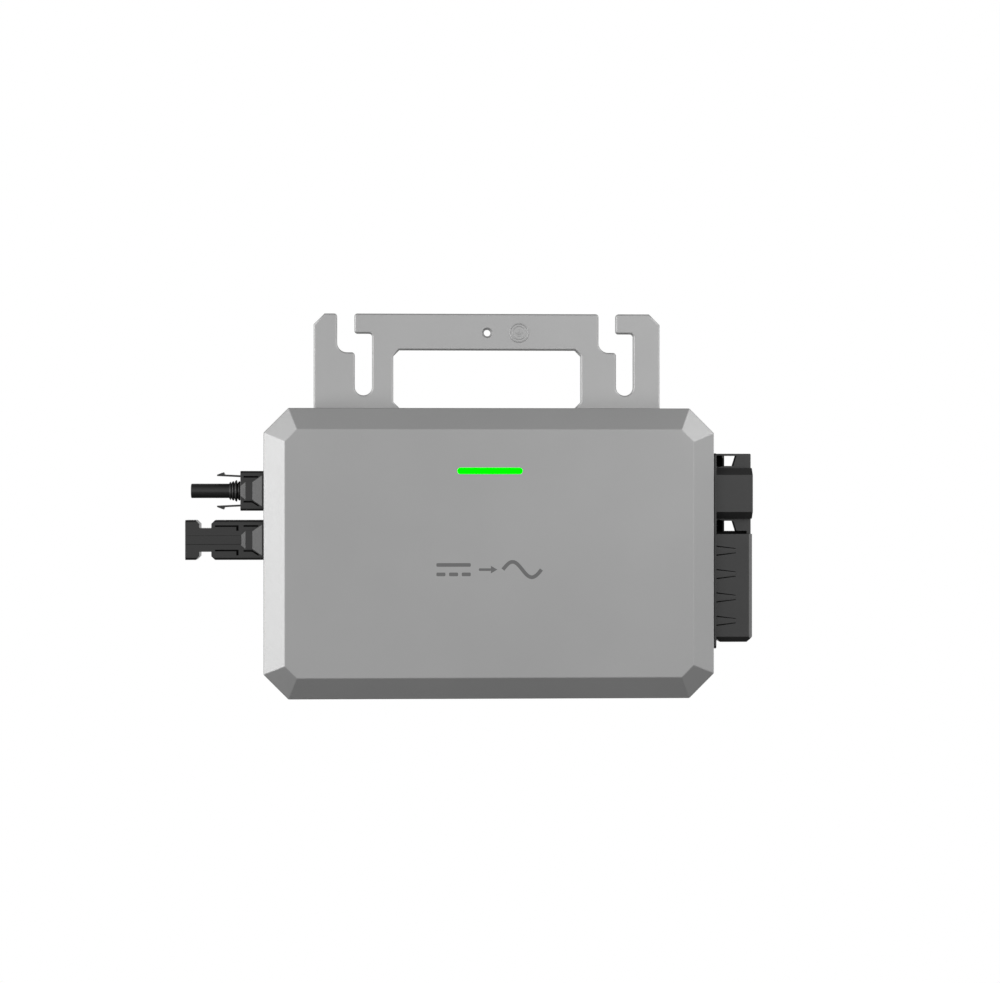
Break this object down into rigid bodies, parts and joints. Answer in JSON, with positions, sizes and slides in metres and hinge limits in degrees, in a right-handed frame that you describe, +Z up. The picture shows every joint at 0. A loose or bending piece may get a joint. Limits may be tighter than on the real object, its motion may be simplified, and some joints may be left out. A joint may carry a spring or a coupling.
{
  "type": "solar microinverter",
  "caption": "Panel-level solar inverter: slim grey chamfered housing on a slotted hanging bracket, DC plug and socket at one side, AC receptacle at the other.",
  "frame": {"origin": "centre of the flat rear face of the body, the face that lies against the rail or panel frame", "axes": "+X towards the AC receptacle (right seen from the front), +Y out of the rear face, +Z up towards the hanging bracket"},
  "size_m": [0.2666, 0.035, 0.1819],
  "materials": {
    "housing_paint": "fine satin grey paint on cast aluminium",
    "plate_paint": "fine satin grey paint on pressed plate",
    "black_plastic": "fine textured black moulding",
    "black_rubber": "matt black rubber",
    "light_bar": "green translucent light guide",
    "screw_steel": "plain stainless steel",
    "tinned_metal": "tinned copper alloy",
    "circuit_board": "green glass-fibre board",
    "potting": "dark cast resin",
    "ferrite": "sintered dark grey",
    "copper_winding": "enamelled copper wire",
    "capacitor_sleeve": "dark sleeve",
    "film_case": "ochre moulded box",
    "relay_case": "dark blue moulded box",
    "white_ceramic": "white ceramic",
    "varistor_coat": "dipped blue coat",
    "chip_case": "moulded black epoxy",
    "red_sleeve": "red insulation",
    "black_sleeve": "black insulation",
    "brown_sleeve": "brown insulation",
    "blue_sleeve": "blue insulation",
    "green_sleeve": "green and yellow insulation"
  },
  "bodies": {
    "housing": {"ac_contact_insert": "black_rubber", "ac_earth_lead": "green_sleeve", "ac_flange_gasket": "black_rubber", "ac_line_lead": "brown_sleeve", "ac_neutral_lead": "blue_sleeve", "ac_pin_earth": "tinned_metal", "ac_pin_line": "tinned_metal", "ac_pin_neutral": "tinned_metal", "ac_receptacle": "black_plastic", "ac_receptacle_screw_1": "screw_steel", "ac_receptacle_screw_2": "screw_steel", "back_plate": "plate_paint", "board_screw_1": "screw_steel", "board_screw_2": "screw_steel", "board_screw_3": "screw_steel", "board_screw_4": "screw_steel", "control_chip": "chip_case", "cover_gasket": "black_rubber", "cover_screw_1": "screw_steel", "cover_screw_2": "screw_steel", "cover_screw_3": "screw_steel", "cover_screw_4": "screw_steel", "cover_screw_5": "screw_steel", "cover_screw_6": "screw_steel", "dc_capacitor_1": "capacitor_sleeve", "dc_capacitor_2": "capacitor_sleeve", "dc_capacitor_3": "capacitor_sleeve", "dc_negative_lead": "black_sleeve", "dc_plug_body": "black_plastic", "dc_plug_contact": "tinned_metal", "dc_plug_nut": "black_plastic", "dc_plug_seal": "black_rubber", "dc_plug_wall_seal": "black_rubber", "dc_positive_lead": "red_sleeve", "dc_socket_body": "black_plastic", "dc_socket_contact": "tinned_metal", "dc_socket_nut": "black_plastic", "dc_socket_wall_seal": "black_rubber", "film_capacitor": "film_case", "filter_choke_core_front": "ferrite", "filter_choke_core_rear": "ferrite", "filter_choke_winding": "copper_winding", "front_housing": "housing_paint", "fuse": "white_ceramic", "led_light_pipe": "light_bar", "main_board": "circuit_board", "potting_layer": "potting", "power_transistor_1": "chip_case", "power_transistor_2": "chip_case", "power_transistor_3": "chip_case", "relay_1": "relay_case", "relay_2": "relay_case", "status_led": "white_ceramic", "transformer_core_front": "ferrite", "transformer_core_rear": "ferrite", "transformer_winding": "copper_winding", "varistor": "varistor_coat", "wireless_module": "tinned_metal"},
    "latch_upper": {"latch_arm_upper": "black_plastic"},
    "latch_lower": {"latch_arm_lower": "black_plastic"}
  },
  "joints": [
    {"name": "latch_upper_flex", "type": "hinge", "parent": "housing", "child": "latch_upper", "pos_m": [-0.1168, -0.017, 0.0362], "axis": [0, -1, 0], "range_deg": [0, 6], "stiffness_Nm_per_rad": 0.08},
    {"name": "latch_lower_flex", "type": "hinge", "parent": "housing", "child": "latch_lower", "pos_m": [-0.1168, -0.017, 0.0224], "axis": [0, 1, 0], "range_deg": [0, 6], "stiffness_Nm_per_rad": 0.08}
  ]
}
